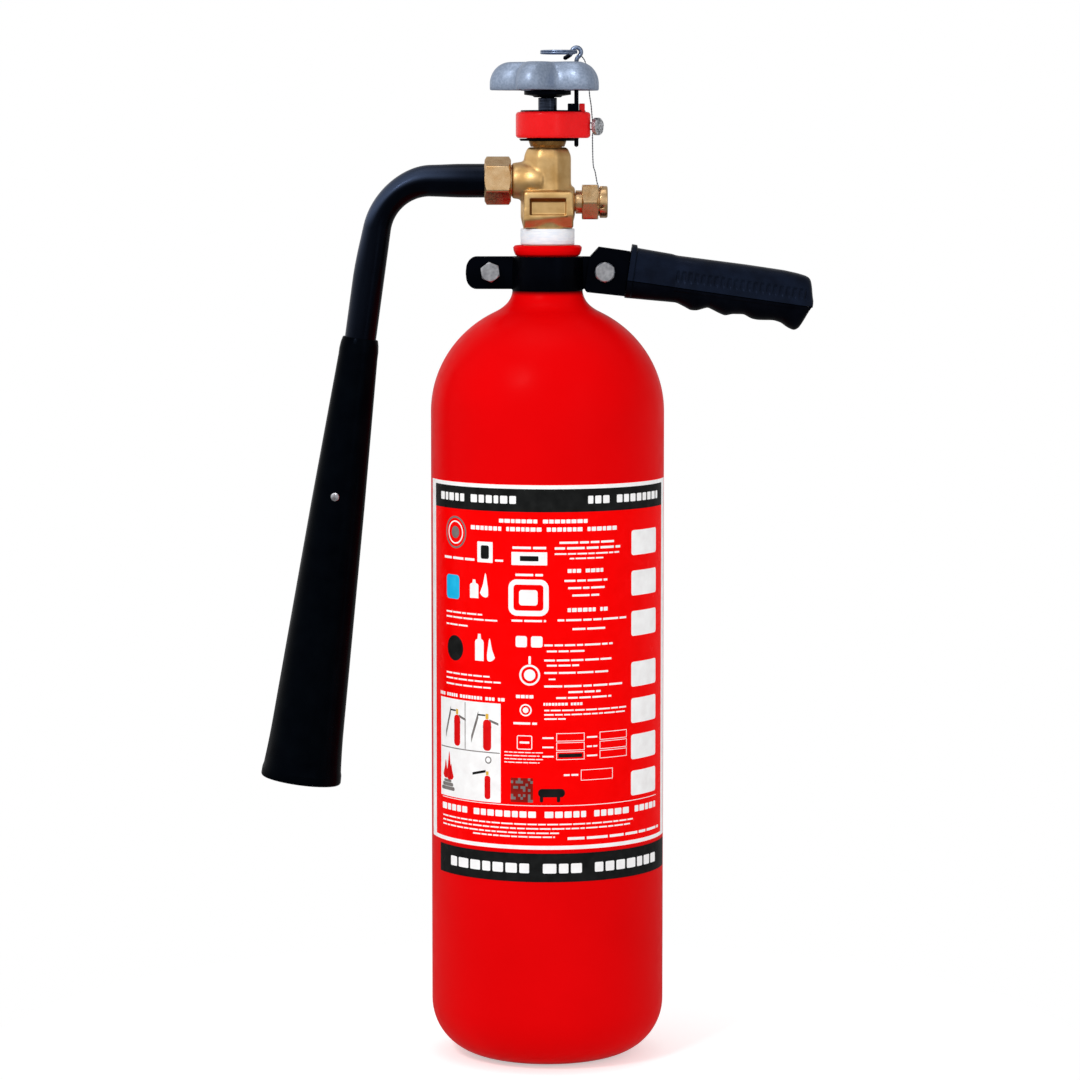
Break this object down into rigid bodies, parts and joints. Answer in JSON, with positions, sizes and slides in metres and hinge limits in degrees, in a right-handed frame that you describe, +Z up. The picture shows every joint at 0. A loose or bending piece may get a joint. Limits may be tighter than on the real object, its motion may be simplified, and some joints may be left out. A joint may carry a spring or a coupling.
{
  "type": "fire extinguisher",
  "caption": "Red steel gas fire extinguisher with a brass wheel valve, safety pin and guard ring, a swivelling black discharge horn and a pivoting side carrying handle.",
  "frame": {"origin": "floor plane, under the middle of the outline from the horn to the end of the handle; the cylinder's axis stands 7.2 mm from it along +X", "axes": "+Z up along the cylinder, +X towards the carrying handle, -Y towards the front with the label; the horn hangs on the -X side"},
  "size_m": [0.3315, 0.14, 0.6078],
  "materials": {
    "red_enamel": "gloss enamel on steel",
    "brass": "cast and machined, lightly polished",
    "zinc": "zinc plated",
    "black_paint": "semi-gloss black paint on steel",
    "black_plastic": "moulded, satin",
    "grey_casting": "satin blue-grey paint on a die casting",
    "red_plastic": "moulded, glossy",
    "white_tape": "wrapped thread tape",
    "nylon": "machined nylon",
    "steel": "plain turned",
    "seal_metal": "crimped soft metal"
  },
  "bodies": {
    "cylinder": {"cylinder_shell": "red_enamel", "neck_ring": "red_enamel", "thread_tape": "white_tape", "valve_body": "brass", "dip_tube": "steel", "bonnet": "brass", "gland_packing": "nylon", "gland_nut": "brass", "relief_plug": "brass", "burst_disc": "steel", "union_nut": "brass", "outlet_washer": "nylon", "clamp_front_strap": "black_paint", "clamp_rear_strap": "black_paint", "clamp_bolt_left": "zinc", "clamp_bolt_right": "zinc", "clamp_nut_left": "zinc", "clamp_nut_right": "zinc", "pivot_bush_front": "steel", "pivot_bush_rear": "steel", "tamper_wire_tail": "steel"},
    "valve_seat": {"seat_disc": "nylon"},
    "handwheel": {"handwheel": "grey_casting", "wheel_boss": "black_plastic", "spindle": "steel", "wheel_nut": "zinc"},
    "guard_ring": {"guard_ring": "red_plastic", "guard_core": "black_plastic"},
    "safety_pin": {"safety_pin": "zinc", "tamper_seal": "seal_metal", "tamper_wire": "steel"},
    "pull_ring": {"pull_ring": "zinc"},
    "horn": {"discharge_tube": "black_paint", "discharge_nozzle": "brass", "horn": "black_plastic", "horn_spacer": "black_plastic", "horn_screw": "zinc"},
    "handle": {"handle_bracket": "black_paint", "grip_upper": "black_plastic", "grip_lower": "black_plastic", "grip_screw_1": "zinc", "grip_screw_2": "zinc"}
  },
  "joints": [
    {"name": "handwheel_turn", "type": "hinge", "parent": "valve_seat", "child": "handwheel", "pos_m": [0.0072, 0, 0.59], "axis": [0, 0, 1], "range_deg": [0, 720]},
    {"name": "spindle_lift", "type": "slide", "parent": "cylinder", "child": "valve_seat", "axis": [0, 0, 1], "range_m": [0, 0.00501]},
    {"name": "guard_ring_turn", "type": "hinge", "parent": "cylinder", "child": "guard_ring", "pos_m": [0.0072, 0, 0.561], "axis": [0, 0, 1], "range_deg": [0, 720.5]},
    {"name": "safety_pin_pull", "type": "slide", "parent": "handwheel", "child": "safety_pin", "axis": [0, 0, 1], "range_m": [0, 0.06]},
    {"name": "pull_ring_swing", "type": "hinge", "parent": "safety_pin", "child": "pull_ring", "pos_m": [0.0244, 0, 0.6038], "axis": [0, 1, 0], "range_deg": [0, 150]},
    {"name": "horn_swivel", "type": "hinge", "parent": "cylinder", "child": "horn", "pos_m": [-0.03, 0, 0.5276], "axis": [1, 0, 0], "continuous": true},
    {"name": "carry_handle_pivot", "type": "hinge", "parent": "cylinder", "child": "handle", "pos_m": [0.0414, 0, 0.4733], "axis": [0, -1, 0], "range_deg": [-5, 45]}
  ],
  "couplings": [
    {"joint": "spindle_lift", "follows": "handwheel_turn", "m_per_rad": 0.00039789},
    {"joint": "guard_ring_turn", "follows": "handwheel_turn", "ratio": 1}
  ]
}
